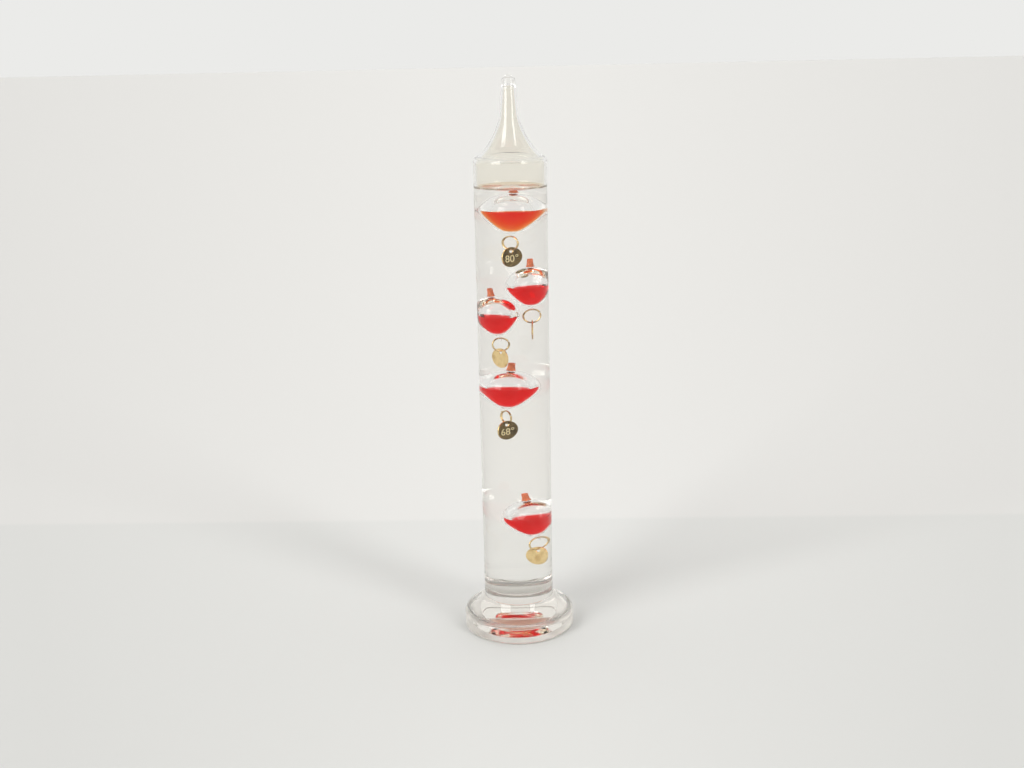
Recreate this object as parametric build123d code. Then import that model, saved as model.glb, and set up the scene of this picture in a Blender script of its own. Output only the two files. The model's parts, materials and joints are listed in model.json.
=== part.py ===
from build123d import *
import math
import os

# Galileo thermometer: a sealed glass tube of clear liquid on a round glass foot.
# Five blown glass floats hang in the liquid, each with a red dye filling, a sealed
# neck on top, and a brass jump ring and number tag below.
# Millimetres, +Z up the tube. The origin is the centre of the foot's underside.

# Foot: a pressed glass disc with a coned top that carries the tube.
foot_radius = 28.3
foot_side_height = 9.4
foot_joint_height = 17.1
foot_lower_round = 1.6
foot_upper_round = 2.6
foot_land_width = 6.0
foot_cone_hollow = 0.7
foot_hollow_height = 5.5
foot_seat_ledge = 0.15

# Tube: drawn glass with a thick floor, a shoulder and a sealed, drawn-out neck.
tube_radius = 17.75
tube_wall = 1.35
tube_floor_thickness = 4.2
tube_floor_corner = 1.8
tube_foot_bevel = 0.3
tube_straight_length = 222.6
shoulder_round_radius = 1.9
shoulder_round_height = 2.3
shoulder_start_pull = 1.5
shoulder_end_run = 1.2
shoulder_end_drop = 0.55
shoulder_wall_drop = 0.55
flare_height = 20.8
flare_start_run = 5.2
flare_start_rise = 3.4
flare_end_run = 0.45
flare_end_drop = 7.0
flare_wall_drop = 0.8
neck_root_radius = 4.25
neck_tip_radius = 3.2
neck_length = 14.4
neck_round = 1.3
neck_round_taper = 0.1
neck_wall = 0.8
neck_bore_tip_radius = 2.6
neck_seal_length = 4.2
tip_button_radius = 2.0
tip_button_height = 1.5
tip_button_side = 0.6

# Working liquid: its level below the shoulder, and the curl where it meets the glass.
liquid_headroom = 12.6
meniscus_rise = 1.1
meniscus_width = 2.2
meniscus_curl = 0.12
liquid_clearance = 0.12

# Float bulb: blown drop, round above and tapered below, with an open neck on top and a
# solid boss and loop underneath. The topmost float has the shortest neck.
bulb_radius = 9.4
bulb_wall = 0.5
bulb_wall_gap = 0.25
bulb_pair_gap = 0.45
taper_start_pull = 2.4
taper_end_radius = 2.8
taper_end_drop = 0.1
taper_end_run = 1.6
taper_end_rise = 0.3
taper_tip_wall = 0.7
neck_radius = 0.8
neck_bore = 0.45
neck_heights = [1.6, 3.7, 3.7, 3.7, 3.7]
boss_tip_radius = 1.0
boss_depth = 1.3
pip_tip_radius = 0.8
pip_depth = 0.22
loop_radius = 1.35
loop_rod_radius = 0.55
loop_drop = 1.78

# Resin seal: a cap dipped over the neck, with a plug in its bore.
seal_radius = 1.6
seal_tip_radius = 1.0
seal_foot_gap = 0.06
seal_crown = 0.5
seal_plug_length = 1.6
seal_round = 0.35

# Jump ring and tag, both brass.
ring_radius = 3.25
ring_wire_radius = 0.35
ring_hang_gap = 0.08
ring_split = 0.3
ring_split_angle = 25.0
tag_radius = 4.9
tag_thickness = 0.45
tag_hole_radius = 1.0
tag_hole_inset = 0.9
tag_hang_gap = 0.06

# How the five floats stand in the tube, from the top one down. Each leans on the
# wall at its bearing, tips a little towards its lean bearing, and its ring and tag
# hang in the vertical planes that lie at their own bearings.
tip_below_liquid = 0.6
tag_beside_second = 0.6
tag_above_fourth = 2.9
lowest_float_share = 0.27
float_bearings = [87.0, -7.7, 194.0, 105.0, 47.0]
float_leans = [3.0, 1.0, 8.0, 4.5, 9.0]
lean_bearings = [0.0, 180.0, 180.0, 0.0, 180.0]
ring_bearings = [-46.0, 10.0, 12.0, -67.0, 38.0]
tag_bearings = [52.0, 100.0, -60.0, 48.0, -34.0]
dye_levels = [0.9, 0.0, -0.3, 0.6, 0.5]

# Sizes that follow from those above.
bore_radius = tube_radius - tube_wall
floor_height = foot_joint_height + tube_floor_thickness
shoulder_height = foot_joint_height + tube_straight_length
liquid_level = shoulder_height - liquid_headroom
neck_root_height = shoulder_height + shoulder_round_height + flare_height
neck_top_height = neck_root_height + neck_length
bulb_bore_radius = bulb_radius - bulb_wall
loop_depth = bulb_radius + loop_drop
rod_to_wire = loop_rod_radius + ring_wire_radius + ring_hang_gap
ring_depth = loop_depth + loop_radius - rod_to_wire + ring_radius
wire_to_tag_top = ring_wire_radius + tag_hang_gap + tag_hole_inset
tag_depth = ring_depth + ring_radius - wire_to_tag_top + tag_radius
hang_length = tag_depth + tag_radius
float_offset = bore_radius - bulb_radius - bulb_wall_gap


def turned(outline):
    """A solid turned about the Z axis from a closed outline of radius and height."""
    return Rot(90, 0, 0) * revolve(make_face(outline), Axis.Y)


def at(radius, height):
    return Vector(radius, height)


def dome(edge, rise):
    """An arc from an edge point up to the axis, as part of a ball whose centre is on the axis."""
    ball = (edge.X**2 + rise**2) / (2 * rise)
    half_turn = math.asin(edge.X / ball) / 2
    middle = at(ball * math.sin(half_turn), edge.Y + rise - ball * (1 - math.cos(half_turn)))
    return ThreePointArc(edge, middle, at(0, edge.Y + rise))


def flare(low_wall, high_wall, drop):
    """The outline from the shoulder's top to the neck's root, moved inwards by a wall at each end."""
    low = at(tube_radius - shoulder_round_radius - low_wall, shoulder_height + shoulder_round_height - drop)
    high = at(neck_root_radius - high_wall, neck_root_height)
    pull_out = low + at(-flare_start_run, flare_start_rise)
    pull_up = high + at(flare_end_run, -flare_end_drop)
    return low, high, Bezier(low, pull_out, pull_up, high)


def make_tube():
    """Glass tube: thick floor, straight body, shoulder, flare, and a neck sealed at the tip."""
    low, high, outer_flare = flare(0, 0, 0)
    corner = at(tube_radius, shoulder_height)
    shoulder_pull = at(tube_radius, shoulder_height + shoulder_start_pull)
    low_pull = low + at(shoulder_end_run, -shoulder_end_drop)
    neck_top = at(neck_tip_radius, neck_top_height)
    button_low = at(tip_button_radius, neck_top_height + neck_round)
    button_side = at(tip_button_radius, neck_top_height + neck_round + tip_button_side)
    button_top = at(0, neck_top_height + neck_round + tip_button_height)
    outer = Polyline(
        at(0, foot_joint_height),
        at(tube_radius - tube_foot_bevel, foot_joint_height),
        at(tube_radius, foot_joint_height + tube_foot_bevel),
        corner,
    ).edges()
    outer += [Bezier(corner, shoulder_pull, low_pull, low), outer_flare, Line(high, neck_top)]
    outer += [Bezier(neck_top, neck_top + at(-neck_round_taper, neck_round), button_low)]
    outer += [Line(button_low, button_side), dome(button_side, button_top.Y - button_side.Y)]
    outer += [Line(button_top, at(0, foot_joint_height))]
    return turned(outer) - turned(bore_outline(False))


def bore_outline(to_level):
    """Outline of the tube's hollow, either up to the liquid's level or to the neck's seal."""
    corner_start = at(bore_radius - tube_floor_corner, floor_height)
    corner_end = at(bore_radius, floor_height + tube_floor_corner)
    outline = [Line(at(0, floor_height), corner_start)]
    outline += [RadiusArc(corner_start, corner_end, -tube_floor_corner)]
    if to_level:
        rim = at(bore_radius, liquid_level + meniscus_rise)
        foot_of_curl = at(bore_radius - meniscus_width, liquid_level)
        middle = at(0, liquid_level)
        pull = at(bore_radius - meniscus_curl * meniscus_width, liquid_level + meniscus_curl * meniscus_rise)
        outline += [Line(corner_end, rim), Bezier(rim, pull, foot_of_curl), Line(foot_of_curl, middle)]
        outline += [Line(middle, at(0, floor_height))]
        return outline
    low, high, inner_flare = flare(tube_wall, neck_wall, flare_wall_drop)
    low_pull = low + at(shoulder_end_run, -shoulder_end_drop)
    side_end = at(bore_radius, shoulder_height - shoulder_wall_drop)
    side_pull = at(bore_radius, side_end.Y + shoulder_start_pull)
    bore_tip = at(neck_bore_tip_radius, neck_top_height - neck_seal_length)
    bore_end = at(0, neck_top_height - neck_seal_length + neck_bore_tip_radius)
    outline += [Line(corner_end, side_end), Bezier(side_end, side_pull, low_pull, low)]
    outline += [inner_flare, Line(high, bore_tip)]
    outline += [RadiusArc(bore_tip, bore_end, -neck_bore_tip_radius), Line(bore_end, at(0, floor_height))]
    return outline


def make_foot():
    """Pressed glass foot: rounded side, coned top, and a shallow dome underneath inside its land."""
    land_inner = foot_radius - foot_lower_round - foot_land_width
    seat_radius = tube_radius + foot_seat_ledge
    outline = [dome(at(land_inner, 0), foot_hollow_height)]
    outline += [Line(at(land_inner, 0), at(foot_radius - foot_lower_round, 0))]
    low_side = at(foot_radius, foot_lower_round)
    high_side = at(foot_radius, foot_side_height - foot_upper_round)
    top_edge = at(foot_radius - foot_upper_round, foot_side_height)
    seat_edge = at(seat_radius, foot_joint_height)
    outline += [RadiusArc(at(foot_radius - foot_lower_round, 0), low_side, -foot_lower_round)]
    outline += [Line(low_side, high_side), RadiusArc(high_side, top_edge, -foot_upper_round)]
    cone_line = (seat_edge - top_edge).normalized()
    hollow = (top_edge + seat_edge) / 2 + at(-cone_line.Y, cone_line.X) * foot_cone_hollow
    outline += [ThreePointArc(top_edge, hollow, seat_edge), Line(seat_edge, at(0, foot_joint_height))]
    outline += [Line(at(0, foot_joint_height), at(0, foot_hollow_height))]
    return turned(outline)


def seal_reach(index):
    """How far a float's sealed tip stands above its bulb's centre."""
    return bulb_radius + neck_heights[index] + seal_crown


def drop_beside(apart):
    """How far below the second bulb the third one rests, with their axes this far apart."""
    touching = 2 * bulb_radius + bulb_pair_gap
    ring_passes = apart > bulb_radius + ring_radius + ring_wire_radius
    if not ring_passes:
        return hang_length + bulb_radius + tag_above_fourth
    if apart > touching:
        return bulb_radius
    return math.sqrt(touching**2 - apart**2)


def stack_heights():
    """Heights of the five bulbs' centres, from the surface of the liquid down."""
    first = liquid_level - tip_below_liquid - seal_reach(0)
    second = first - hang_length - bulb_radius + tag_beside_second
    turn = math.radians(float_bearings[1] - float_bearings[2])
    apart = 2 * float_offset * abs(math.sin(turn / 2))
    third = second - drop_beside(apart)
    fourth = third - hang_length - bulb_radius - tag_above_fourth
    free_room = fourth - hang_length - seal_reach(4) - (floor_height + hang_length)
    fifth = floor_height + hang_length + lowest_float_share * free_room
    return [first, second, third, fourth, fifth]


def bearing(angle):
    return Vector(math.cos(math.radians(angle)), math.sin(math.radians(angle)), 0)


class Float:
    """Where one float and what hangs from it lie: its tipped bulb and its plumb ring and tag."""

    def __init__(self, index):
        self.centre = bearing(float_bearings[index]) * float_offset + Vector(0, 0, stack_heights()[index])
        self.neck_top = bulb_radius + neck_heights[index]
        tip = lean_bearings[index]
        turn = Rot(0, 0, tip) * Rot(0, float_leans[index], 0) * Rot(0, 0, -tip)
        self.place = Pos(self.centre) * turn
        self.loop_bearing = ring_bearings[index] + 90
        self.dye_height = self.centre.Z + dye_levels[index]
        self.ring_along = bearing(ring_bearings[index])
        self.ring_normal = bearing(ring_bearings[index] + 90)
        self.tag_normal = bearing(tag_bearings[index] + 90)
        loop_centre = (self.place * Pos(0, 0, -loop_depth)).position
        across = (turn * Pos(bearing(self.loop_bearing))).position
        upward = (turn * Pos(0, 0, 1)).position
        rise = (across * across.Z + upward * upward.Z).normalized()
        self.ring_pivot = loop_centre - rise * loop_radius
        self.ring_centre = self.ring_pivot + Vector(0, 0, rod_to_wire - ring_radius)
        self.tag_pivot = self.ring_centre - Vector(0, 0, ring_radius)
        self.tag_centre = self.tag_pivot + Vector(0, 0, wire_to_tag_top - tag_radius)

    def ring_plane(self):
        return Plane(self.ring_centre, x_dir=self.ring_along, z_dir=self.ring_normal).location

    def tag_plane(self):
        return Plane(self.tag_centre, x_dir=(0, 0, 1), z_dir=self.tag_normal).location


def stand(radius, low, high):
    return Pos(0, 0, (low + high) / 2) * Cylinder(radius, high - low)


def quarter(radius):
    """A quarter circle from the top of a ball to its side."""
    middle = radius * math.sqrt(0.5)
    return ThreePointArc(at(0, radius), at(middle, middle), at(radius, 0))


def taper(side, end):
    """The lower side of a drop, from its widest place in to where it ends."""
    start_pull = side + at(0, -taper_start_pull)
    return Bezier(side, start_pull, end + at(taper_end_run, taper_end_rise), end)


def bulb_outside(extra):
    """A bulb's outside with its boss, grown by a margin."""
    radius = bulb_radius + extra
    end = at(taper_end_radius + extra, -bulb_radius - taper_end_drop - extra)
    boss = at(boss_tip_radius + extra, -bulb_radius - boss_depth - extra)
    outline = [quarter(radius), taper(at(radius, 0), end), Line(end, boss)]
    outline += [Line(boss, at(0, boss.Y)), Line(at(0, boss.Y), at(0, radius))]
    return turned(outline)


def loop_outline(extra, turn):
    upright = Rot(0, 0, turn) * Rot(90, 0, 0)
    return Pos(0, 0, -loop_depth) * upright * Torus(loop_radius, loop_rod_radius + extra)


def dye_space():
    """The inside of a bulb below its neck, down to the pip that the blowing leaves."""
    end = at(taper_end_radius - taper_tip_wall, -bulb_radius - taper_end_drop + bulb_wall)
    pip = at(pip_tip_radius, end.Y - pip_depth)
    outline = [quarter(bulb_bore_radius), taper(at(bulb_bore_radius, 0), end), Line(end, pip)]
    outline += [Line(pip, at(0, pip.Y)), Line(at(0, pip.Y), at(0, bulb_bore_radius))]
    return turned(outline)


def make_bulb(spot):
    """Blown glass bulb with an open neck above, and a boss and a hanging loop below."""
    glass = bulb_outside(0) + stand(neck_radius, bulb_bore_radius, spot.neck_top)
    glass = glass + loop_outline(0, spot.loop_bearing)
    hollow = dye_space() + stand(neck_bore, bulb_bore_radius - bulb_wall, spot.neck_top)
    return spot.place * (glass - hollow)


def seal_outline(neck_top, extra):
    """The dipped cap over the neck, wider at its skirt than at its crown."""
    low = bulb_radius + seal_foot_gap - extra
    height = neck_top + seal_crown + extra - low
    return Pos(0, 0, low + height / 2) * Cone(seal_radius + extra, seal_tip_radius + extra, height)


def make_seal(spot):
    """Red resin seal: cap over the neck, with a plug down its bore."""
    cap = seal_outline(spot.neck_top, 0)
    cap = fillet(cap.faces().sort_by(Axis.Z)[-1].edges(), seal_round)
    cap = cap - stand(neck_radius, 0, spot.neck_top)
    plug = stand(neck_bore, spot.neck_top - seal_plug_length, spot.neck_top + seal_crown / 2)
    return spot.place * (cap + plug)


def make_dye(spot):
    """Dyed liquid that fills the bottom half of a bulb, level whatever the bulb's lean."""
    filled = spot.place * dye_space()
    room = 4 * bulb_radius
    above = Pos(spot.centre.X, spot.centre.Y, spot.dye_height + room / 2) * Box(room, room, room)
    return filled - above


def make_ring(spot):
    """Brass jump ring: round wire bent to a circle, with its split at one side."""
    wire = Torus(ring_radius, ring_wire_radius)
    room = 4 * ring_wire_radius
    cut = Rot(0, 0, ring_split_angle) * Pos(ring_radius, 0, 0) * Box(room, ring_split, room)
    return spot.ring_plane() * (wire - cut)


def make_tag(spot):
    """Stamped brass disc with its hanging hole near the top edge."""
    hole_offset = tag_radius - tag_hole_inset - tag_hole_radius
    hole = Pos(hole_offset, 0, 0) * Cylinder(tag_hole_radius, 2 * tag_thickness)
    return spot.tag_plane() * (Cylinder(tag_radius, tag_thickness) - hole)


def make_liquid(spots):
    """Clear working liquid, with a space around each float and what hangs from it."""
    liquid = turned(bore_outline(True))
    gap = liquid_clearance
    for spot in spots:
        around = bulb_outside(gap) + seal_outline(spot.neck_top, gap)
        liquid = liquid - spot.place * around
        liquid = liquid - spot.place * loop_outline(gap, spot.loop_bearing)
        liquid = liquid - spot.ring_plane() * Torus(ring_radius, ring_wire_radius + gap)
        liquid = liquid - spot.tag_plane() * Cylinder(tag_radius + gap, tag_thickness + 2 * gap)
    return max(liquid.solids(), key=lambda solid: solid.volume)


os.makedirs("parts", exist_ok=True)
floats = [Float(index) for index in range(len(float_bearings))]
pieces = {"glass_foot": make_foot(), "glass_tube": make_tube(), "working_liquid": make_liquid(floats)}
for number, spot in enumerate(floats, start=1):
    pieces[f"float_{number}_bulb"] = make_bulb(spot)
    pieces[f"float_{number}_seal"] = make_seal(spot)
    pieces[f"float_{number}_dye"] = make_dye(spot)
    pieces[f"float_{number}_ring"] = make_ring(spot)
    pieces[f"float_{number}_tag"] = make_tag(spot)
for name, piece in pieces.items():
    export_step(piece, f"parts/{name}.step")
total_height = neck_top_height + neck_round + tip_button_height
print("liquid level", round(liquid_level, 2), "height", round(total_height, 2))
for number, spot in enumerate(floats, start=1):
    print("float", number, "bulb centre", [round(value, 2) for value in spot.centre])
    print("  ring pivot", [round(value, 3) for value in spot.ring_pivot])
    print("  tag pivot", [round(value, 3) for value in spot.tag_pivot])
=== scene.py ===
import json
import math

import bmesh
import bpy
from mathutils import Matrix, Vector


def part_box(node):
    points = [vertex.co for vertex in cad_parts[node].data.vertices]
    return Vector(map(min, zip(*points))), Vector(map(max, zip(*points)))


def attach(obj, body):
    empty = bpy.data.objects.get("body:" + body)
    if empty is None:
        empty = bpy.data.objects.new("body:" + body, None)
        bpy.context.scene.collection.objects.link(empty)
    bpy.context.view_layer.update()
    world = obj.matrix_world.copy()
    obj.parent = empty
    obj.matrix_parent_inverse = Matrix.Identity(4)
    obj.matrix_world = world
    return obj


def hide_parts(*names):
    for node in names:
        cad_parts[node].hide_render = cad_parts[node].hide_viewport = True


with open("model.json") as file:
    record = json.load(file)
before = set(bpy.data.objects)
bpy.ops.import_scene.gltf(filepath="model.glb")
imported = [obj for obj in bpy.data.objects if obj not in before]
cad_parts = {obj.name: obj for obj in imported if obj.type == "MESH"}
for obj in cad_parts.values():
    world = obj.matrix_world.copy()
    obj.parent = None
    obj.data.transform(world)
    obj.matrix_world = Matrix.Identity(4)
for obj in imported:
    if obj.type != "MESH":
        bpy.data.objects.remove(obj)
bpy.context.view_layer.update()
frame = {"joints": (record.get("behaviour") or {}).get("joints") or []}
mm = 0.001

# Foot. A disc of clear soda-lime glass, pressed in a mould and fire polished, with a coned
# top that the tube is fused to. It stands on a ground land around a shallow domed hollow.
foot_radius = 28.3
foot_side_height = 9.4
foot_lower_round = 1.6
foot_upper_round = 2.6
foot_land_width = 11.1
foot_hollow = 4.0
foot_cone_hollow = 0.7
joint_height = 17.1
joint_radius = 17.45
seat_radius = 17.9
joint_gap = 0.01
foot_glass_ior = 1.5


def linear(colour):
    """An sRGB hex colour as the linear colour that a shader takes."""
    shares = [int(colour[start : start + 2], 16) / 255 for start in (1, 3, 5)]
    return [s / 12.92 if s <= 0.04045 else ((s + 0.055) / 1.055) ** 2.4 for s in shares] + [1.0]


def add(tree, kind, inputs=None, **settings):
    """Adds a node, sets it, and fills its inputs with values or with links from other nodes."""
    node = tree.nodes.new(kind)
    for name, value in settings.items():
        setattr(node, name, value)
    for name, value in (inputs or {}).items():
        if isinstance(value, bpy.types.NodeSocket):
            tree.links.new(value, node.inputs[name])
        else:
            node.inputs[name].default_value = value
    return node


def new_material(name):
    """A new material with an empty node tree, and the tree."""
    material = bpy.data.materials.new(name)
    material.use_nodes = True
    material.node_tree.nodes.clear()
    return material, material.node_tree


def clear_glass(name, ior, colour="#FFFFFF", ripple=0.0, ripple_size=9.0, stretch=0.15, roughness=0.0):
    """Clear glass, fire polished if it has no roughness, with a faint ripple drawn out in height."""
    material, tree = new_material(name)
    glass = {"Base Color": linear(colour), "Roughness": roughness, "IOR": ior, "Transmission Weight": 1.0}
    if ripple:
        place = add(tree, "ShaderNodeTexCoord").outputs["Object"]
        drawn = add(tree, "ShaderNodeMapping", {"Vector": place, "Scale": (1, 1, stretch)})
        scale = 1 / (ripple_size * mm)
        noise = add(tree, "ShaderNodeTexNoise", {"Vector": drawn.outputs[0], "Scale": scale, "Detail": 1.0})
        bump = add(tree, "ShaderNodeBump", {"Height": noise.outputs[0], "Distance": ripple * mm})
        glass["Normal"] = bump.outputs[0]
    shader = add(tree, "ShaderNodeBsdfPrincipled", glass)
    add(tree, "ShaderNodeOutputMaterial", {"Surface": shader.outputs[0]})
    return material


def passing(name):
    """A surface inside one body of glass or liquid, which light passes as if it weren't there."""
    material, tree = new_material(name)
    shader = add(tree, "ShaderNodeBsdfTransparent")
    add(tree, "ShaderNodeOutputMaterial", {"Surface": shader.outputs[0]})
    return material


def run(start, end, count=1, guard=0.0):
    """Points of a straight stretch, with two more that keep smooth shading off its ends."""
    shares = [step / count for step in range(count + 1)]
    if guard:
        near = guard / math.dist(start, end)
        shares = sorted(shares + [near, 1 - near])
    return [tuple(a + (b - a) * share for a, b in zip(start, end)) for share in shares]


def bend(pulls, count=16):
    """Points of a Bezier curve through its first and last pull."""
    degree = len(pulls) - 1
    points = []
    for step in range(count + 1):
        t = step / count
        weights = [math.comb(degree, k) * t**k * (1 - t) ** (degree - k) for k in range(degree + 1)]
        points.append(tuple(sum(w * pull[axis] for w, pull in zip(weights, pulls)) for axis in (0, 1)))
    return points


def arc(centre, radius, start, end, count=12):
    """Points of an arc, by its start and end angles in degrees."""
    angles = [math.radians(start + (end - start) * step / count) for step in range(count + 1)]
    return [(centre[0] + radius * math.cos(a), centre[1] + radius * math.sin(a)) for a in angles]


def chain(*stretches):
    """One outline from (points, finish) stretches, with the points that they share kept once."""
    outline = []
    for points, finish in stretches:
        for radius, height in points:
            if outline and math.dist(outline[-1][:2], (radius, height)) < 1e-6:
                outline[-1] = (radius, height, finish)
            else:
                outline.append((radius, height, finish))
    return outline


def turned(name, chains, materials, around=160, place=Matrix()):
    """A piece turned about Z. Each outline runs from axis to axis with the solid on its left."""
    corners, faces, finishes = [], [], []
    turns = [math.tau * step / around for step in range(around)]
    for outline in chains:
        rings = []
        for radius, height, _ in outline:
            rings.append([])
            for turn in turns if radius > 1e-6 else turns[:1]:
                rings[-1].append(len(corners))
                corner = Vector((radius * math.cos(turn), radius * math.sin(turn), height))
                corners.append(place @ corner * mm)
        for low, high, point in zip(rings, rings[1:], outline):
            for step in range(around):
                ahead = (step + 1) % around
                lower = [low[step % len(low)], low[ahead % len(low)]]
                upper = [high[ahead % len(high)], high[step % len(high)]]
                faces.append(list(dict.fromkeys(lower + upper)))
                finishes.append(point[2])
    mesh = bpy.data.meshes.new(name)
    mesh.from_pydata(corners, [], faces)
    mesh.polygons.foreach_set("material_index", finishes)
    return shown(name, mesh, materials)


def shown(name, mesh, materials, sharp=40):
    """Puts a mesh in the scene as a piece, smooth but for its sharp edges."""
    for material in materials:
        mesh.materials.append(material)
    mesh.shade_smooth()
    mesh.set_sharp_from_angle(angle=math.radians(sharp))
    piece = bpy.data.objects.new(name, mesh)
    bpy.context.scene.collection.objects.link(piece)
    return piece


foot_glass = clear_glass("pressed soda-lime glass", foot_glass_ior, "#FBF7F0", ripple=0.02, stretch=1.0)
fused_joint = passing("fused glass joint")
foot_hollow_glass = clear_glass("mould-pressed glass", foot_glass_ior, "#FEFEFE", roughness=0.06)
ground_land = clear_glass("ground glass land", foot_glass_ior, "#FEFEFE", roughness=0.35)
land_inner = foot_radius - foot_lower_round - foot_land_width
upper_edge = (foot_radius - foot_upper_round, foot_side_height)
foot_top = joint_height - joint_gap
cone_run = (seat_radius - upper_edge[0], foot_top - upper_edge[1])
cone_length = math.hypot(*cone_run)
cone_middle = (
    (upper_edge[0] + seat_radius) / 2 - 2 * foot_cone_hollow * cone_run[1] / cone_length,
    (upper_edge[1] + foot_top) / 2 + 2 * foot_cone_hollow * cone_run[0] / cone_length,
)
hollow_ball = (land_inner**2 + foot_hollow**2) / (2 * foot_hollow)
hollow_turn = math.degrees(math.asin(land_inner / hollow_ball))
foot_outline = chain(
    (arc((0, foot_hollow - hollow_ball), hollow_ball, 90, 90 - hollow_turn, 40), 2),
    (run((land_inner, 0), (foot_radius - foot_lower_round, 0), 2, 0.2), 3),
    (arc((foot_radius - foot_lower_round, foot_lower_round), foot_lower_round, -90, 0), 0),
    (run((foot_radius, foot_lower_round), (foot_radius, foot_side_height - foot_upper_round), 2, 0.2), 0),
    (arc((upper_edge[0], upper_edge[1] - foot_upper_round), foot_upper_round, 0, 90), 0),
    (bend([upper_edge, cone_middle, (seat_radius, foot_top)], 14), 0),
    (run((seat_radius, foot_top), (joint_radius, foot_top)), 0),
    (run((joint_radius, foot_top), (0, foot_top), 3), 1),
)
foot = turned("foot", [foot_outline], [foot_glass, fused_joint, foot_hollow_glass, ground_land])
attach(foot, "root")
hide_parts("glass_foot")

# Tube. Drawn soda-lime tubing with a thick floor, fused to the foot. Its upper end was
# heated and pulled out to a neck, and melted shut at the tip once it was filled.
tube_radius = 17.75
tube_wall = 1.35
tube_floor = 4.2
floor_corner = 1.8
tube_bevel = 0.3
shoulder_height = 239.7
shoulder_round = 1.9
shoulder_top = 242.0
shoulder_start_pull = 1.5
shoulder_end_pull = (1.2, -0.55)
shoulder_wall_drop = 0.55
flare_start_pull = (-5.2, 3.4)
flare_end_pull = (0.45, -7.0)
flare_wall_drop = 0.8
neck_root = (4.25, 262.8)
neck_top = (3.2, 277.2)
neck_taper = 0.1
button_radius = 2.0
button_low = 278.5
button_side = 0.6
button_rise = 0.9
neck_wall = 0.8
neck_bore_tip = 2.6
neck_bore_end = 273.0
bore_radius = tube_radius - tube_wall
floor_height = joint_height + tube_floor
liquid_level = 227.1
meniscus_rise = 1.1
meniscus_width = 2.2
meniscus_curl = 0.12
rim_height = liquid_level + meniscus_rise
glass_ior = 1.5
liquid_ior = 1.39

tube_glass = clear_glass("drawn soda-lime glass", glass_ior, "#FEFEFD", ripple=0.008, ripple_size=14)
# Painted shade: the tube's inside above the liquid is tinted warmer and darker, for the beige tone that
# light through the glass gives it.
dry_glass_painted_shade = clear_glass("drawn glass, dry inside, tinted as painted shade", glass_ior, "#F8F5EC")
wet_glass = clear_glass("drawn glass against the liquid", glass_ior / liquid_ior, "#FBFAF8")
tube_low = joint_height + joint_gap


def pulled(start, start_pull, end_pull, end, count):
    """A curve between two points that leaves and meets them in the directions of its pulls."""
    leave = (start[0] + start_pull[0], start[1] + start_pull[1])
    meet = (end[0] + end_pull[0], end[1] + end_pull[1])
    return bend([start, leave, meet, end], count)


button_ball = (button_radius**2 + button_rise**2) / (2 * button_rise)
button_turn = math.degrees(math.asin(button_radius / button_ball))
button_centre = button_low + button_side + button_rise - button_ball
flare_low = (tube_radius - shoulder_round, shoulder_top)
rim_pull = (0, shoulder_start_pull)
tube_outside = chain(
    (run((0, tube_low), (joint_radius, tube_low), 3), 2),
    (run((joint_radius, tube_low), (tube_radius, tube_low + tube_bevel), 2), 0),
    (run((tube_radius, tube_low + tube_bevel), (tube_radius, shoulder_height), 24, 0.2), 0),
    (pulled((tube_radius, shoulder_height), rim_pull, shoulder_end_pull, flare_low, 14), 0),
    (pulled(flare_low, flare_start_pull, flare_end_pull, neck_root, 40), 0),
    (run(neck_root, neck_top, 8), 0),
    (bend([neck_top, (neck_top[0] - neck_taper, button_low), (button_radius, button_low)], 8), 0),
    (run((button_radius, button_low), (button_radius, button_low + button_side), 2), 0),
    (arc((0, button_centre), button_ball, 90 - button_turn, 90, 8), 0),
)
inside_low = (flare_low[0] - tube_wall, flare_low[1] - flare_wall_drop)
inside_root = (neck_root[0] - neck_wall, neck_root[1])
inside_corner = (bore_radius, shoulder_height - shoulder_wall_drop)
flare_inside = pulled(inside_low, flare_start_pull, flare_end_pull, inside_root, 40)
shoulder_inside = pulled(inside_corner, rim_pull, shoulder_end_pull, inside_low, 14)
bore_tip = arc((0, neck_bore_end), neck_bore_tip, 0, 90, 10)
floor_arc = arc((bore_radius - floor_corner, floor_height + floor_corner), floor_corner, -90, 0, 12)
tube_inside = chain(
    (bore_tip[::-1], 3),
    (run((neck_bore_tip, neck_bore_end), flare_inside[-1], 6), 3),
    (flare_inside[::-1], 3),
    (shoulder_inside[::-1], 3),
    (run(shoulder_inside[0], (bore_radius, rim_height), 4, 0.2), 3),
    (run((bore_radius, rim_height), floor_arc[-1], 24, 0.2), 1),
    (floor_arc[::-1], 1),
    (run(floor_arc[0], (0, floor_height), 4, 0.2), 1),
)
tube = turned("tube", [tube_outside, tube_inside], [tube_glass, wet_glass, fused_joint, dry_glass_painted_shade])
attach(tube, "root")
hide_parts("glass_tube")

# Working liquid. A clear hydrocarbon that fills the tube to below its shoulder and curls
# up where its surface meets the glass. The tube's wetted wall bends the light for both.
liquid_gap = 0.01
liquid_radius = bore_radius - liquid_gap
liquid_floor = floor_height + liquid_gap
liquid_surface = clear_glass("clear working liquid", liquid_ior, "#FFFEFB")
liquid_side = passing("liquid against the glass")
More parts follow.
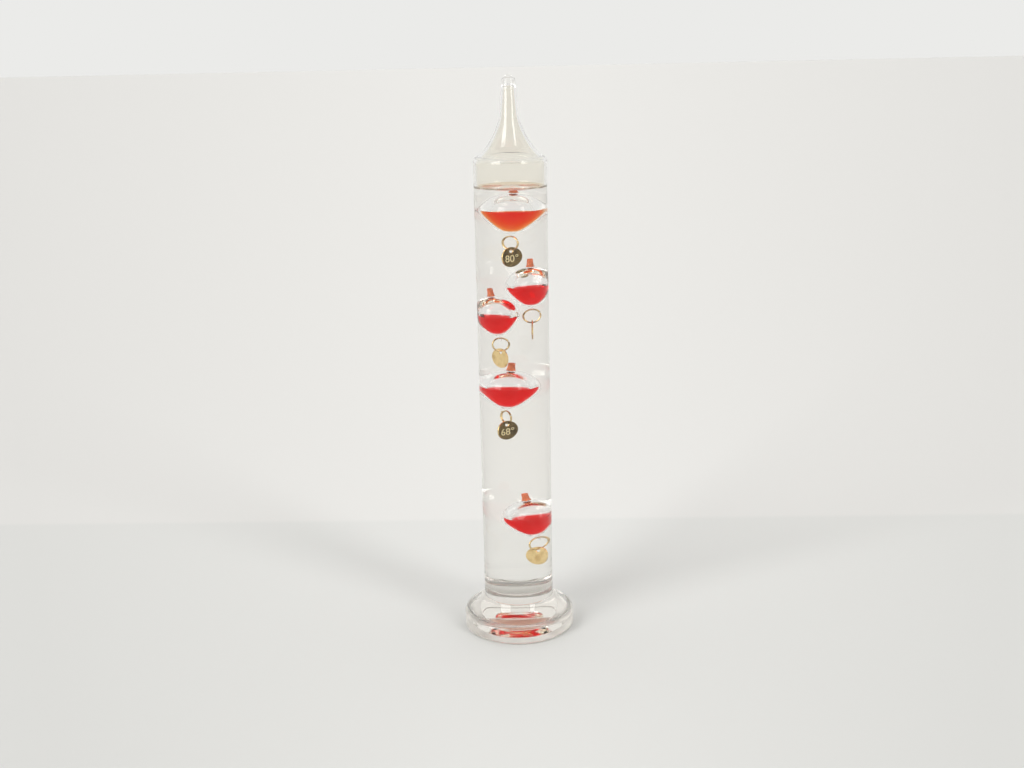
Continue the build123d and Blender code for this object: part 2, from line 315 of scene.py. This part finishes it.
# Painted shade: the liquid's curl at the wall is tinted tan, for the dark line that the bent light makes
# along the meniscus.
liquid_curl_painted_shade = clear_glass("liquid curl at the wall, tinted as painted shade", liquid_ior, "#E2CDAC")
liquid_corner = arc((liquid_radius - floor_corner, liquid_floor + floor_corner), floor_corner, -90, 0, 12)
curl_pull = (liquid_radius - meniscus_curl * meniscus_width, liquid_level + meniscus_curl * meniscus_rise)
curl = bend([(liquid_radius, rim_height), curl_pull, (liquid_radius - meniscus_width, liquid_level)], 16)
liquid_outline = chain(
    (run((0, liquid_floor), liquid_corner[0], 4), 1),
    (liquid_corner, 1),
    (run(liquid_corner[-1], curl[0], 8), 1),
    (curl, 2),
    (run(curl[-1], (0, liquid_level), 8, 0.1), 0),
)
liquid = turned("liquid", [liquid_outline], [liquid_surface, liquid_side, liquid_curl_painted_shade])
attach(liquid, "root")
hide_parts("working_liquid")

# Float bulbs. Five thin drops blown in borosilicate glass, round above and tapered below,
# each with a short open neck on top and a hanging loop pulled from a glass rod below.
bulb_radius = 9.4
bulb_wall = 0.5
cavity_radius = bulb_radius - bulb_wall
neck_radius = 0.8
neck_bore_radius = 0.45
neck_heights = [1.6, 3.7, 3.7, 3.7, 3.7]
taper_pull = 2.4
taper_end = (2.8, -9.5)
taper_end_pull = (4.4, -9.2)
tip_wall = 0.7
boss_tip_radius = 1.0
boss_tip = 10.7
boss_flat_share = 0.8
boss_round = 0.3
boss_waist = (1.3, -9.85)
neck_flare = (1.0, 0.15)
neck_flare_ease = 0.02
pip_tip_radius = 0.8
pip_depth = 0.22
loop_radius = 1.35
loop_rod_radius = 0.55
loop_depth = bulb_radius + 1.78
bulb_ior = 1.47
dye_ior = 1.38
float_leans = [3.0, 1.0, 8.0, 4.5, 9.0]
lean_bearings = [0.0, 180.0, 180.0, 0.0, 180.0]
ring_bearings = [-46.0, 10.0, 12.0, -67.0, 38.0]
tag_bearings = [52.0, 100.0, -60.0, 48.0, -34.0]
dye_levels = [0.9, 0.0, -0.3, 0.6, 0.5]
joint_places = {joint["name"]: Vector(joint.get("pos_m", (0, 0, 0))) / mm for joint in frame["joints"]}


def float_place(index):
    """Where a float stands: its centre from the frame, tipped by its lean, in millimetres."""
    low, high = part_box(f"float_{index + 1}_dye")
    centre = Vector(((low.x + high.x) / 2, (low.y + high.y) / 2, high.z - dye_levels[index] * mm)) / mm
    tip = Matrix.Rotation(math.radians(lean_bearings[index]), 4, "Z")
    lean = Matrix.Rotation(math.radians(float_leans[index]), 4, "Y")
    return Matrix.Translation(centre) @ tip @ lean @ tip.inverted()


def joined(piece, other):
    """Melts another closed mesh into a piece, and removes the other."""
    union = piece.modifiers.new("union", "BOOLEAN")
    union.operation = "UNION"
    union.solver = "EXACT"
    union.object = other
    bpy.context.view_layer.update()
    result = bpy.data.meshes.new_from_object(piece.evaluated_get(bpy.context.evaluated_depsgraph_get()))
    piece.modifiers.clear()
    piece.data = result
    bpy.data.objects.remove(other)


bulb_skin = clear_glass("blown borosilicate in the liquid", bulb_ior / liquid_ior)
bulb_dry = clear_glass("blown borosilicate, dry inside", bulb_ior)
bulb_wet = clear_glass("blown borosilicate against the dye", bulb_ior / dye_ior)
neck_foot = (neck_flare[0], math.sqrt(bulb_radius**2 - neck_flare[0] ** 2))
neck_pull = (neck_radius + neck_flare_ease, bulb_radius - neck_flare_ease)
neck_low = (neck_radius, bulb_radius + neck_flare[1])
boss_side = (boss_tip_radius, boss_round - boss_tip)
neck_angle = math.degrees(math.asin(neck_foot[1] / bulb_radius))
bore_foot = math.degrees(math.acos(neck_bore_radius / cavity_radius))
cavity_end = (taper_end[0] - tip_wall, taper_end[1] + bulb_wall)
cavity_end_pull = (taper_end_pull[0] - tip_wall, taper_end_pull[1] + bulb_wall)
cavity_low = cavity_end[1] - pip_depth


def bulb_outline(neck_top):
    """The outside of a bulb from its boss up to its neck's rim, then its hollow down to the pip."""
    return chain(
        (bend([(0, -boss_tip), (boss_tip_radius * boss_flat_share, -boss_tip), boss_side], 5), 0),
        (bend([boss_side, boss_waist, taper_end], 6), 0),
        (bend([taper_end, taper_end_pull, (bulb_radius, -taper_pull), (bulb_radius, 0)], 48), 0),
        (arc((0, 0), bulb_radius, 0, neck_angle, 40), 0),
        (bend([neck_foot, neck_pull, neck_low], 6), 0),
        (run(neck_low, (neck_radius, neck_top), 4), 0),
        (run((neck_radius, neck_top), (neck_bore_radius, neck_top)), 0),
        (run((neck_bore_radius, neck_top), (neck_bore_radius, cavity_radius), 4), 1),
        (arc((0, 0), cavity_radius, bore_foot, 0, 40), 1),
        (bend([(cavity_radius, 0), (cavity_radius, -taper_pull), cavity_end_pull, cavity_end], 48), 1),
        (run(cavity_end, (pip_tip_radius, cavity_low), 3), 1),
        (run((pip_tip_radius, cavity_low), (0, cavity_low), 2), 1),
    )


for index in range(len(dye_levels)):
    name = f"float_{index + 1}"
    place = float_place(index)
    outline = bulb_outline(bulb_radius + neck_heights[index])
    bulb = turned(f"{name}_glass", [outline], [bulb_skin, bulb_dry, bulb_wet], 112, place)
    rod = chain((arc((loop_radius, 0), loop_rod_radius, 0, 360, 20), 0))
    upright = Matrix.Rotation(math.pi / 2, 4, "X")
    across = Matrix.Rotation(math.radians(ring_bearings[index] + 90), 4, "Z")
    loop_place = place @ Matrix.Translation((0, 0, -loop_depth)) @ across @ upright
    loop = turned(f"{name}_loop", [rod], [bulb_skin], 48, loop_place)
    welded = bmesh.new()
    welded.from_mesh(loop.data)
    bmesh.ops.remove_doubles(welded, verts=welded.verts, dist=1e-7)
    welded.to_mesh(loop.data)
    welded.free()
    joined(bulb, loop)
    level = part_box(f"{name}_dye")[1].z
    cut = bmesh.new()
    cut.from_mesh(bulb.data)
    hollow = [face for face in cut.faces if face.material_index == 1]
    edges = {edge for face in hollow for edge in face.edges}
    corners = {corner for face in hollow for corner in face.verts}
    around_dye = hollow + list(edges) + list(corners)
    bmesh.ops.bisect_plane(cut, geom=around_dye, plane_co=(0, 0, level), plane_no=(0, 0, 1))
    for face in cut.faces:
        if face.material_index == 1 and face.calc_center_median().z < level:
            face.material_index = 2
    cut.to_mesh(bulb.data)
    cut.free()
    bulb.data.shade_smooth()
    bulb.data.set_sharp_from_angle(angle=math.radians(40))
    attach(bulb, name)
    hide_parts(f"{name}_bulb")

# Seals. Orange-red resin, dipped over each neck and cured, with a plug down its bore.
# It runs a little fuller at the skirt, where it was still wet.
seal_radius = 1.6
seal_tip_radius = 1.0
seal_low = bulb_radius + 0.06
seal_skirt = 0.3
seal_waist_radii = [1.25, 1.2, 1.1]
seal_waist_rise = 0.4
seal_crown = 0.5
seal_crown_drop = 0.35
seal_plug_length = 1.6
seal_clearance = 0.02
resin_cloud = 1.2
resin_relief = 0.04


def blend(tree, share, colour, other):
    """A colour that turns into another by a share."""
    return add(tree, "ShaderNodeMix", {0: share, 6: colour, 7: other}, data_type="RGBA").outputs[2]


def resin(name, colour, deep_colour):
    """Cured casting resin: glossy, and clouded at a millimetre's scale."""
    material, tree = new_material(name)
    place = add(tree, "ShaderNodeTexCoord").outputs["Object"]
    clouds = {"Vector": place, "Scale": 1 / (resin_cloud * mm), "Detail": 3.0}
    cloud = add(tree, "ShaderNodeTexNoise", clouds).outputs[0]
    tint = blend(tree, cloud, linear(deep_colour), linear(colour))
    relief = {"Height": cloud, "Distance": resin_relief * mm, "Strength": 0.4}
    bump = add(tree, "ShaderNodeBump", relief).outputs[0]
    cured = {"Base Color": tint, "Roughness": 0.28, "Normal": bump}
    shader = add(tree, "ShaderNodeBsdfPrincipled", cured)
    add(tree, "ShaderNodeOutputMaterial", {"Surface": shader.outputs[0]})
    return material


seal_resin = resin("orange-red casting resin", "#FF9460", "#FC7040")
seal_bore = neck_radius + seal_clearance
plug_radius = neck_bore_radius - seal_clearance


def seal_outline(neck_top):
    """The plug in the bore, the hollow over the neck, and the cap's flared outside."""
    plug_low = neck_top - seal_plug_length
    lid = neck_top + seal_clearance
    top = neck_top + seal_crown
    skirt = (seal_radius, seal_low + seal_skirt)
    tuck = (seal_waist_radii[0], skirt[1] + seal_waist_rise)
    waist = (seal_waist_radii[1], (seal_low + top) / 2)
    brow = (seal_waist_radii[2], top - seal_crown_drop)
    return chain(
        (run((0, plug_low), (plug_radius, plug_low), 2), 0),
        (run((plug_radius, plug_low), (plug_radius, lid), 2), 0),
        (run((plug_radius, lid), (seal_bore, lid)), 0),
        (run((seal_bore, lid), (seal_bore, seal_low), 4), 0),
        (bend([(seal_bore, seal_low), (seal_radius, seal_low), skirt], 6), 0),
        (bend([skirt, tuck, waist, brow], 14), 0),
        (bend([brow, (seal_tip_radius, top), (0, top)], 10), 0),
    )


for index in range(len(dye_levels)):
    name = f"float_{index + 1}"
    outline = seal_outline(bulb_radius + neck_heights[index])
    seal = turned(f"{name}_cap", [outline], [seal_resin], 48, float_place(index))
    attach(seal, name)
    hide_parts(f"{name}_seal")

# Dye. Red dyed spirit that fills the lower half of each bulb and stays level as the bulb
# leans. It takes up blue and green light with depth, so its thin edges look orange.
dye_gap = 0.015
dye_curl = 0.35
dye_curl_width = 0.9
dye_curl_steps = 8
dye_rise = 30.0


def dyed_liquid(name, absorption, absorbed):
    """A clear red liquid: a smooth surface on top, and nothing to see where it wets the glass."""
    material, tree = new_material(name)
    wetting = add(tree, "ShaderNodeAttribute", attribute_name="against_glass").outputs["Fac"]
    clear = {"Base Color": (1, 1, 1, 1), "Roughness": 0.0, "IOR": dye_ior, "Transmission Weight": 1.0}
    surface = add(tree, "ShaderNodeBsdfPrincipled", clear).outputs[0]
    through = add(tree, "ShaderNodeBsdfTransparent").outputs[0]
    either = add(tree, "ShaderNodeMixShader", {0: wetting, 1: surface, 2: through})
    depth = add(tree, "ShaderNodeVolumeAbsorption", {"Color": (*absorbed, 1.0), "Density": absorption})
    add(tree, "ShaderNodeOutputMaterial", {"Surface": either.outputs[0], "Volume": depth.outputs[0]})
    return material


orange_dye = dyed_liquid("orange-red dyed spirit", 520.0, (0.984, 0.52, 0.0))
crimson_dye = dyed_liquid("crimson dyed spirit", 800.0, (0.98, 0.1, 0.12))
dye_radius = cavity_radius - dye_gap
dye_low = cavity_low + dye_gap
dye_end = (cavity_end[0] - dye_gap, cavity_end[1] + dye_gap)
dye_end_pull = (cavity_end_pull[0] - dye_gap, cavity_end_pull[1] + dye_gap)
dye_side = arc((0, 0), dye_radius, 0, dye_rise, 16)
dye_outline = chain(
    (run((0, dye_low), (pip_tip_radius - dye_gap, dye_low), 2), 0),
    (run((pip_tip_radius - dye_gap, dye_low), dye_end, 3), 0),
    (bend([dye_end, dye_end_pull, (dye_radius, -taper_pull), (dye_radius, 0)], 48), 0),
    (dye_side, 0),
    (run(dye_side[-1], (0, dye_side[-1][1])), 0),
)
for index in range(len(dye_levels)):
    name = f"float_{index + 1}"
    place = float_place(index)
    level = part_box(f"{name}_dye")[1].z
    centre = place.translation * mm
    red_dye = orange_dye if index == 0 else crimson_dye
    dye = turned(f"{name}_filling", [dye_outline], [red_dye], 112, place)
    cut = bmesh.new()
    cut.from_mesh(dye.data)
    mark = cut.faces.layers.float.new("against_glass")
    everything = cut.verts[:] + cut.edges[:] + cut.faces[:]
    flat = {"plane_co": (0, 0, level), "plane_no": (0, 0, 1)}
    bmesh.ops.bisect_plane(cut, geom=everything, clear_outer=True, **flat)
    for face in cut.faces:
        face[mark] = 1.0
    rim = [edge for edge in cut.edges if edge.is_boundary]
    across = math.sqrt(dye_radius**2 - (level / mm - centre.z / mm) ** 2)
    for step in range(1, dye_curl_steps + 1):
        done = step / dye_curl_steps
        reach = (across - done * dye_curl_width) * mm
        drop = dye_curl * mm * (1 - (1 - done) ** 2)
        ring = bmesh.ops.extrude_edge_only(cut, edges=rim)["geom"]
        rim = [part for part in ring if isinstance(part, bmesh.types.BMEdge)]
        for corner in {corner for edge in rim for corner in edge.verts}:
            away = (corner.co.xy - centre.xy).normalized() * reach
            corner.co = (*(centre.xy + away), level - drop)
    bmesh.ops.holes_fill(cut, edges=rim)
    bmesh.ops.recalc_face_normals(cut, faces=cut.faces)
    if cut.calc_volume(signed=True) < 0:
        bmesh.ops.reverse_faces(cut, faces=cut.faces)
    cut.to_mesh(dye.data)
    cut.free()
    dye.data.shade_smooth()
    dye.data.set_sharp_from_angle(angle=math.radians(40))
    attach(dye, name)
    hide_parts(f"{name}_dye")

# Jump rings. Round brass wire wound on a mandrel and cut, which leaves a split. Each one
# hangs in a float's glass loop and carries its tag.
ring_radius = 3.25
ring_wire = 0.35
ring_split = 0.3
ring_split_angle = 25.0
tarnish_size = 3.5
rub_size = 0.25
rub_relief = 0.01


def ramp(tree, value, start, end, low=0.0, high=1.0):
    """A value that runs from low to high while another runs from start to end."""
    return add(tree, "ShaderNodeMapRange", {0: value, 1: start, 2: end, 3: low, 4: high}).outputs[0]


def brass(name, colour, dark_colour, roughness, tarnish):
    """Rolled or drawn brass: fine rub marks, and darker tarnish in clouds of a few millimetres."""
    material, tree = new_material(name)
    place = add(tree, "ShaderNodeTexCoord").outputs["Object"]
    clouds = {"Vector": place, "Scale": 1 / (tarnish_size * mm), "Detail": 5.0}
    cloud = add(tree, "ShaderNodeTexNoise", clouds).outputs[0]
    marks = {"Vector": place, "Scale": 1 / (rub_size * mm), "Detail": 2.0}
    rub = add(tree, "ShaderNodeTexNoise", marks).outputs[0]
    stain = ramp(tree, cloud, 0.45, 0.65, 0.0, tarnish)
    tint = blend(tree, stain, linear(colour), linear(dark_colour))
    dull = ramp(tree, rub, 0.0, 1.0, roughness * 0.7, roughness * 1.4)
    relief = {"Height": rub, "Distance": rub_relief * mm, "Strength": 0.5}
    bump = add(tree, "ShaderNodeBump", relief).outputs[0]
    rolled = {"Base Color": tint, "Metallic": 1.0, "Roughness": dull, "Normal": bump}
    shader = add(tree, "ShaderNodeBsdfPrincipled", rolled)
    add(tree, "ShaderNodeOutputMaterial", {"Surface": shader.outputs[0]})
    return material


def split_ring_tree(finish):
    """Geometry nodes for a ring of round wire with a split: an arc with a circle swept along it."""
    tree = bpy.data.node_groups.new("split ring", "GeometryNodeTree")
    for name in ("Radius", "Wire", "Start", "Sweep"):
        tree.interface.new_socket(name, in_out="INPUT", socket_type="NodeSocketFloat")
    tree.interface.new_socket("Geometry", in_out="OUTPUT", socket_type="NodeSocketGeometry")
    given = add(tree, "NodeGroupInput")
    path = add(tree, "GeometryNodeCurveArc", {
        "Resolution": 97, "Radius": given.outputs["Radius"],
        "Start Angle": given.outputs["Start"], "Sweep Angle": given.outputs["Sweep"]})
    section = add(tree, "GeometryNodeCurvePrimitiveCircle", {
        "Resolution": 20, "Radius": given.outputs["Wire"]})
    wire = add(tree, "GeometryNodeCurveToMesh", {
        "Curve": path.outputs[0], "Profile Curve": section.outputs[0], "Fill Caps": True})
    whole = add(tree, "GeometryNodeRealizeInstances", {"Geometry": wire.outputs[0]})
    finished = add(tree, "GeometryNodeSetMaterial", {"Geometry": whole.outputs[0], "Material": finish})
    add(tree, "NodeGroupOutput", {"Geometry": finished.outputs[0]})
    return tree


def bearing(angle):
    return Vector((math.cos(math.radians(angle)), math.sin(math.radians(angle)), 0))


def facing(right, up, place):
    """The place of a flat thing whose own X and Y become the right and up directions."""
    axes = Matrix((right, up, right.cross(up))).transposed().to_4x4()
    return Matrix.Translation(place) @ axes


ring_brass = brass("drawn brass wire", "#EBD3A2", "#8A6A3A", 0.14, 0.75)
ring_tree = split_ring_tree(ring_brass)
split_share = ring_split / ring_radius
ring_sizes = {
    "Radius": ring_radius * mm, "Wire": ring_wire * mm,
    "Start": math.radians(ring_split_angle) + split_share / 2, "Sweep": math.tau - split_share}
for index in range(len(dye_levels)):
    name = f"float_{index + 1}"
    ring = bpy.data.objects.new(f"{name}_jump_ring", bpy.data.meshes.new(f"{name}_jump_ring"))
    bpy.context.scene.collection.objects.link(ring)
    maker = ring.modifiers.new("split ring", "NODES")
    maker.node_group = ring_tree
    for socket in ring_tree.interface.items_tree:
        if socket.in_out == "INPUT":
            maker[socket.identifier] = ring_sizes[socket.name]
    bpy.context.view_layer.update()
    wound = bpy.data.meshes.new_from_object(ring.evaluated_get(bpy.context.evaluated_depsgraph_get()))
    ring.modifiers.clear()
    ring.data = wound
    centre = joint_places[f"{name}_tag_swing"] + Vector((0, 0, ring_radius))
    ring.data.transform(facing(bearing(ring_bearings[index]), Vector((0, 0, 1)), centre * mm))
    ring.data.shade_smooth()
    ring.data.set_sharp_from_angle(angle=math.radians(50))
    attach(ring, f"{name}_ring")
    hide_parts(f"{name}_ring")

# Tags. Discs punched from brass sheet, tumbled so that their edges are soft, each with a
# hole near its top edge and a raised number on one face. The lowest shows its plain back.
tag_radius = 4.9
tag_thickness = 0.45
tag_edge_round = 0.07
tag_hole_radius = 1.0
tag_hole_margin = 0.9
tag_hole_rise = tag_radius - tag_hole_margin - tag_hole_radius
tag_hang = 1.31
tag_drop = tag_radius - tag_hang
number_size = 4.9
number_drop = 0.9
number_relief = 0.07
number_sink = 0.03
number_bevel = 0.02
tag_numbers = ["80°", "76°", "72°", "68°", "64°"]
tag_faces = [1, 1, -1, 1, -1]


def circle(curve, radius, rise):
    """Adds a round closed spline to a flat curve."""
    reach = 0.5523 * radius
    spline = curve.splines.new("BEZIER")
    spline.bezier_points.add(3)
    for corner, point in enumerate(spline.bezier_points):
        out = Vector((math.cos(corner * math.pi / 2), math.sin(corner * math.pi / 2), 0))
        side = Vector((-out.y, out.x, 0))
        point.co = out * radius + Vector((0, rise, 0))
        point.handle_left = point.co - side * reach
        point.handle_right = point.co + side * reach
    spline.use_cyclic_u = True


def pressed(name, curve, place, material, sharp):
    """A flat curve or text made a closed mesh, then put in place."""
    drawn = bpy.data.objects.new(name, curve)
    bpy.context.scene.collection.objects.link(drawn)
    bpy.context.view_layer.update()
    mesh = bpy.data.meshes.new_from_object(drawn.evaluated_get(bpy.context.evaluated_depsgraph_get()))
    bpy.data.objects.remove(drawn)
    merged = bmesh.new()
    merged.from_mesh(mesh)
    bmesh.ops.remove_doubles(merged, verts=merged.verts, dist=1e-7)
    bmesh.ops.recalc_face_normals(merged, faces=merged.faces)
    merged.to_mesh(mesh)
    merged.free()
    mesh.transform(place)
    mesh.materials.clear()
    return shown(name, mesh, [material], sharp)


tag_brass = brass("tumbled brass sheet", "#FBDFA4", "#C99C54", 0.2, 0.5)
# Painted reflection: the numbered faces are dark brass, for the darker surroundings that they reflect.
tag_painted_dark = brass("brass face darkened as painted reflection", "#7C663C", "#443820", 0.26, 0.8)
number_brass = brass("rubbed brass relief", "#F6E8BC", "#D0B06C", 0.3, 0.2)
for index, label in enumerate(tag_numbers):
    name = f"float_{index + 1}"
    front = -bearing(tag_bearings[index] + 90)
    if front.y > 0:
        front = -front
    up = Vector((0, 0, 1))
    centre = joint_places[f"{name}_tag_swing"] - Vector((0, 0, tag_drop))
    place = facing(up.cross(front), up, centre * mm)
    disc = bpy.data.curves.new(f"{name}_disc", "CURVE")
    disc.dimensions = "2D"
    disc.fill_mode = "BOTH"
    disc.resolution_u = 20
    disc.extrude = (tag_thickness / 2 - tag_edge_round) * mm
    disc.bevel_depth = tag_edge_round * mm
    disc.bevel_resolution = 3
    disc.offset = -tag_edge_round * mm
    circle(disc, tag_radius * mm, 0)
    circle(disc, tag_hole_radius * mm, tag_hole_rise * mm)
    tag = pressed(f"{name}_disc", disc, place, tag_brass, 50)
    tag.data.materials.append(tag_painted_dark)
    # The numbered face takes the dark brass, a painted reflection.
    for face in tag.data.polygons:
        if face.normal.dot(front) * tag_faces[index] > 0.95:
            face.material_index = 1
    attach(tag, f"{name}_tag")
    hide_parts(f"{name}_tag")
    text = bpy.data.curves.new(f"{name}_number", "FONT")
    text.body = label
    text.size = number_size * mm
    text.align_x = "CENTER"
    text.align_y = "CENTER"
    text.extrude = (number_relief + number_sink) / 2 * mm
    text.bevel_depth = number_bevel * mm
    text.resolution_u = 6
    turn = Matrix.Rotation(0 if tag_faces[index] > 0 else math.pi, 4, "Y")
    out = (tag_thickness / 2 + (number_relief - number_sink) / 2) * mm
    number_place = place @ turn @ Matrix.Translation((0, -number_drop * mm, out))
    number = pressed(f"{name}_number", text, number_place, number_brass, 30)
    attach(number, f"{name}_tag")

# Stage. A sheet of matt white card that lies flat and turns up behind the object, drawn
# here as a change of tone across one floor, so that the object is clear from every side.
# A faint warm patch under the foot stands for light that has come through the dyes.
floor_size = 90.0
floor_drop = 0.0001
fold_behind = 0.146
fold_slope = -0.03
fold_blend = (-0.002, 0.004)
card_tone = "#E2E3E2"
wall_tone = "#E7E7E6"
card_side_shade = 0.09
side_shade_slopes = (0.06, 0.42)
side_shade_source = 0.6
painted_dye_light = "#FFD2C2"
dye_light_edge = (0.013, 0.0165)


def maths(tree, operation, first, second=0.0):
    """The result of one step of arithmetic."""
    return add(tree, "ShaderNodeMath", {0: first, 1: second}, operation=operation).outputs[0]


def paper(name):
    """Matt white card: a paler stretch beyond the fold, painted shade to the sides, a painted pool of light
    by the axis.
    """
    material, tree = new_material(name)
    place = add(tree, "ShaderNodeTexCoord").outputs["Object"]
    apart = add(tree, "ShaderNodeSeparateXYZ", {0: place}).outputs
    beyond = maths(tree, "ADD", apart["Y"], maths(tree, "MULTIPLY", apart["X"], -fold_slope))
    edge = ramp(tree, beyond, fold_behind + fold_blend[0], fold_behind + fold_blend[1])
    tint = blend(tree, edge, linear(card_tone), linear(wall_tone))
    # Painted shade: the card darkens towards the sides, as seen from in front of the object, and is
    # brightest in the middle.
    aside = maths(tree, "DIVIDE", apart["X"], maths(tree, "ADD", apart["Y"], side_shade_source))
    fade = ramp(tree, maths(tree, "ABSOLUTE", aside), *side_shade_slopes, 1.0, 1.0 - card_side_shade)
    flat = add(tree, "ShaderNodeCombineXYZ", {"X": apart["X"], "Y": apart["Y"]}).outputs[0]
    from_axis = add(tree, "ShaderNodeVectorMath", {0: flat}, operation="LENGTH").outputs["Value"]
    # Painted light: a pale pink pool on the card near the axis, under the foot, for light that came through
    # the dyes.
    lit_through_dyes = blend(tree, ramp(tree, from_axis, *dye_light_edge, 1.0, 0.0), tint, linear(painted_dye_light))
    soft = add(tree, "ShaderNodeVectorMath", {0: lit_through_dyes, "Scale": fade}, operation="SCALE")
    shader = add(tree, "ShaderNodeBsdfPrincipled", {"Base Color": soft.outputs[0], "Roughness": 0.9})
    shader.inputs["Specular IOR Level"].default_value = 0.1
    add(tree, "ShaderNodeOutputMaterial", {"Surface": shader.outputs[0]})
    return material


half = floor_size / 2
sheet = bpy.data.meshes.new("card")
corners = [(x, y, -floor_drop) for x, y in ((-half, -half), (half, -half), (half, half), (-half, half))]
sheet.from_pydata(corners, [], [(0, 1, 2, 3)])
card = shown("card", sheet, [paper("matt white card")])

# Light. A plain pale room with two tall windows in front, left and right of the camera.
# The glass shows them as highlights. Each has its bearing, half its width, its rise and
# half its height in degrees.
room_colour = "#D3D1CE"
far_colour = "#8E8270"
back_colour = "#EBEBE9"
window_colour = "#FFFEFC"
window_strength = 4.2
windows = [(-48, 16, 28, 26), (47, 8, 28, 26)]
window_edge = 1.0
back_reach = (-0.25, 0.35)
far_reach = (0.5, 0.85)
world = bpy.data.worlds.new("room")
bpy.context.scene.world = world
world.use_nodes = True
tree = world.node_tree
tree.nodes.clear()
all_round = add(tree, "ShaderNodeTexCoord").outputs["Generated"]
way = add(tree, "ShaderNodeSeparateXYZ", {0: all_round}).outputs
front_way = maths(tree, "MULTIPLY", way["Y"], -1.0)
around = maths(tree, "ARCTAN2", way["X"], front_way)
above = maths(tree, "ARCSINE", way["Z"])
glow = None
for middle, half_width, rise, half_height in windows:
    masks = []
    for angle, centre, half_size in ((around, middle, half_width), (above, rise, half_height)):
        away = maths(tree, "ABSOLUTE", maths(tree, "SUBTRACT", angle, math.radians(centre)))
        inner, outer = math.radians(half_size - window_edge), math.radians(half_size + window_edge)
        masks.append(ramp(tree, away, inner, outer, 1.0, 0.0))
    pane = maths(tree, "MULTIPLY", *masks)
    glow = pane if glow is None else maths(tree, "ADD", glow, pane)
walls = blend(tree, ramp(tree, way["Y"], *back_reach), linear(room_colour), linear(back_colour))
ends = blend(tree, ramp(tree, front_way, *far_reach), walls, linear(far_colour))
room = add(tree, "ShaderNodeBackground", {"Color": ends})
bright = maths(tree, "MULTIPLY", glow, window_strength)
sky = add(tree, "ShaderNodeBackground", {"Color": linear(window_colour), "Strength": bright})
both = add(tree, "ShaderNodeAddShader", {0: room.outputs[0], 1: sky.outputs[0]})
plain = add(tree, "ShaderNodeBackground", {"Color": linear(back_colour)})
seen = add(tree, "ShaderNodeLightPath").outputs["Is Camera Ray"]
light = add(tree, "ShaderNodeMixShader", {0: seen, 1: both.outputs[0], 2: plain.outputs[0]})
add(tree, "ShaderNodeOutputWorld", {"Surface": light.outputs[0]})

# Camera. A long phone lens at arm's length, looking down a little and not quite level.
camera_place = (-1.26, -593.7, 287.0)
camera_lens = 43.07
camera_dip = 14.88
camera_roll = -1.23
camera = bpy.data.objects.new("camera", bpy.data.cameras.new("camera"))
bpy.context.scene.collection.objects.link(camera)
camera.data.lens = camera_lens
camera.data.sensor_width = 36
camera.data.clip_start = 0.01
camera.data.clip_end = 50
dip = Matrix.Rotation(math.radians(90 - camera_dip), 4, "X")
roll = Matrix.Rotation(math.radians(camera_roll), 4, "Z")
camera.matrix_world = Matrix.Translation(Vector(camera_place) * mm) @ dip @ roll
scene = bpy.context.scene
scene.camera = camera
scene.view_settings.view_transform = "Standard"
scene.cycles.max_bounces = 64
scene.cycles.transmission_bounces = 64
scene.cycles.glossy_bounces = 32
scene.cycles.transparent_max_bounces = 64
scene.cycles.use_denoising = True
